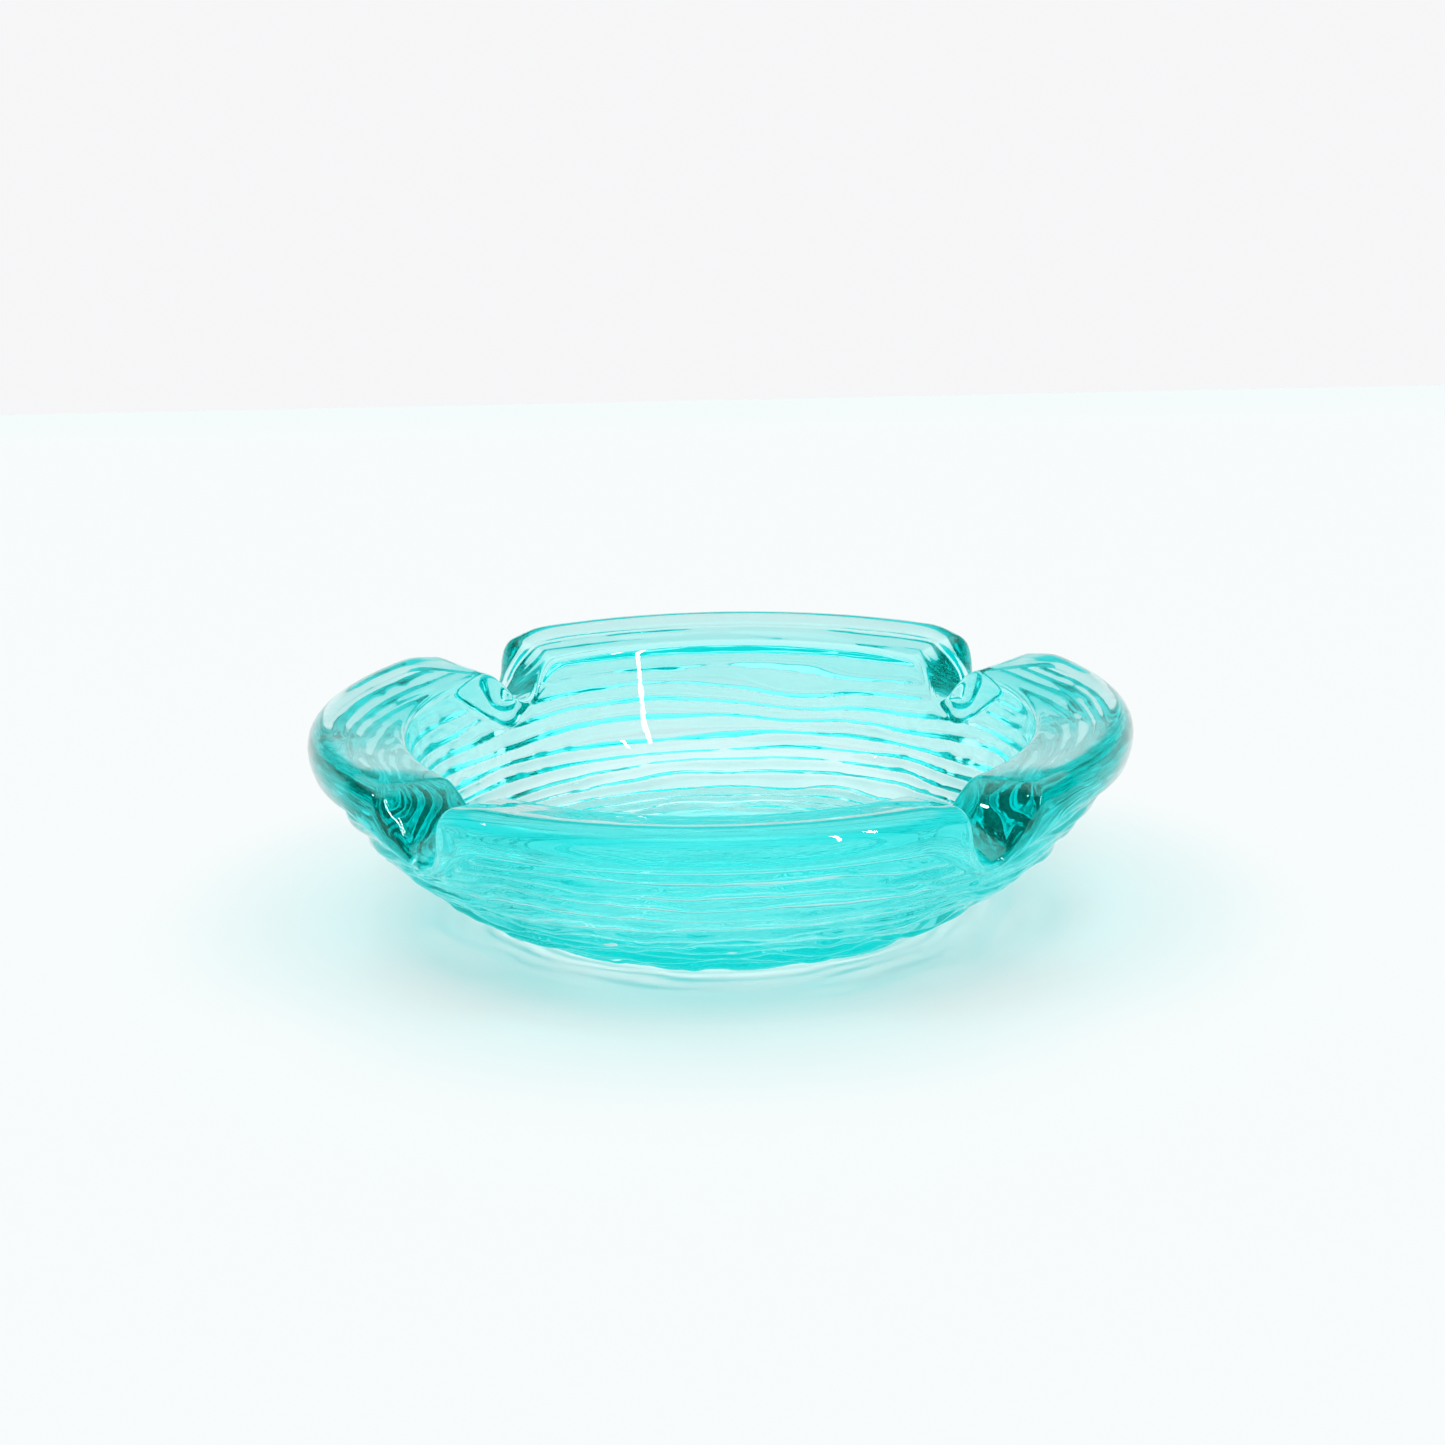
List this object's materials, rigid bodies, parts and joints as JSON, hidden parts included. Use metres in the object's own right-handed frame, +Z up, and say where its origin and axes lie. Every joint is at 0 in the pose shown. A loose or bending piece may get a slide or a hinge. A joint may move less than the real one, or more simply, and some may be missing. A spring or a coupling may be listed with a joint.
{
  "type": "glass ashtray",
  "caption": "Small round pressed-glass ashtray: smooth bowl, thick rim notched by rests, irregular ridged outside.",
  "frame": {"origin": "centre of the foot ring's resting plane, on the dish's axis", "axes": "+Z up along the dish's axis; the rests lie on the X and Y axes, so the rim segments are centred on the diagonals"},
  "size_m": [0.1064, 0.1064, 0.0262],
  "materials": {
    "glass": "clear aqua glass, fire polished, smooth inside and ridged outside"
  },
  "bodies": {
    "root": {"glass_dish": "glass"}
  },
  "joints": []
}
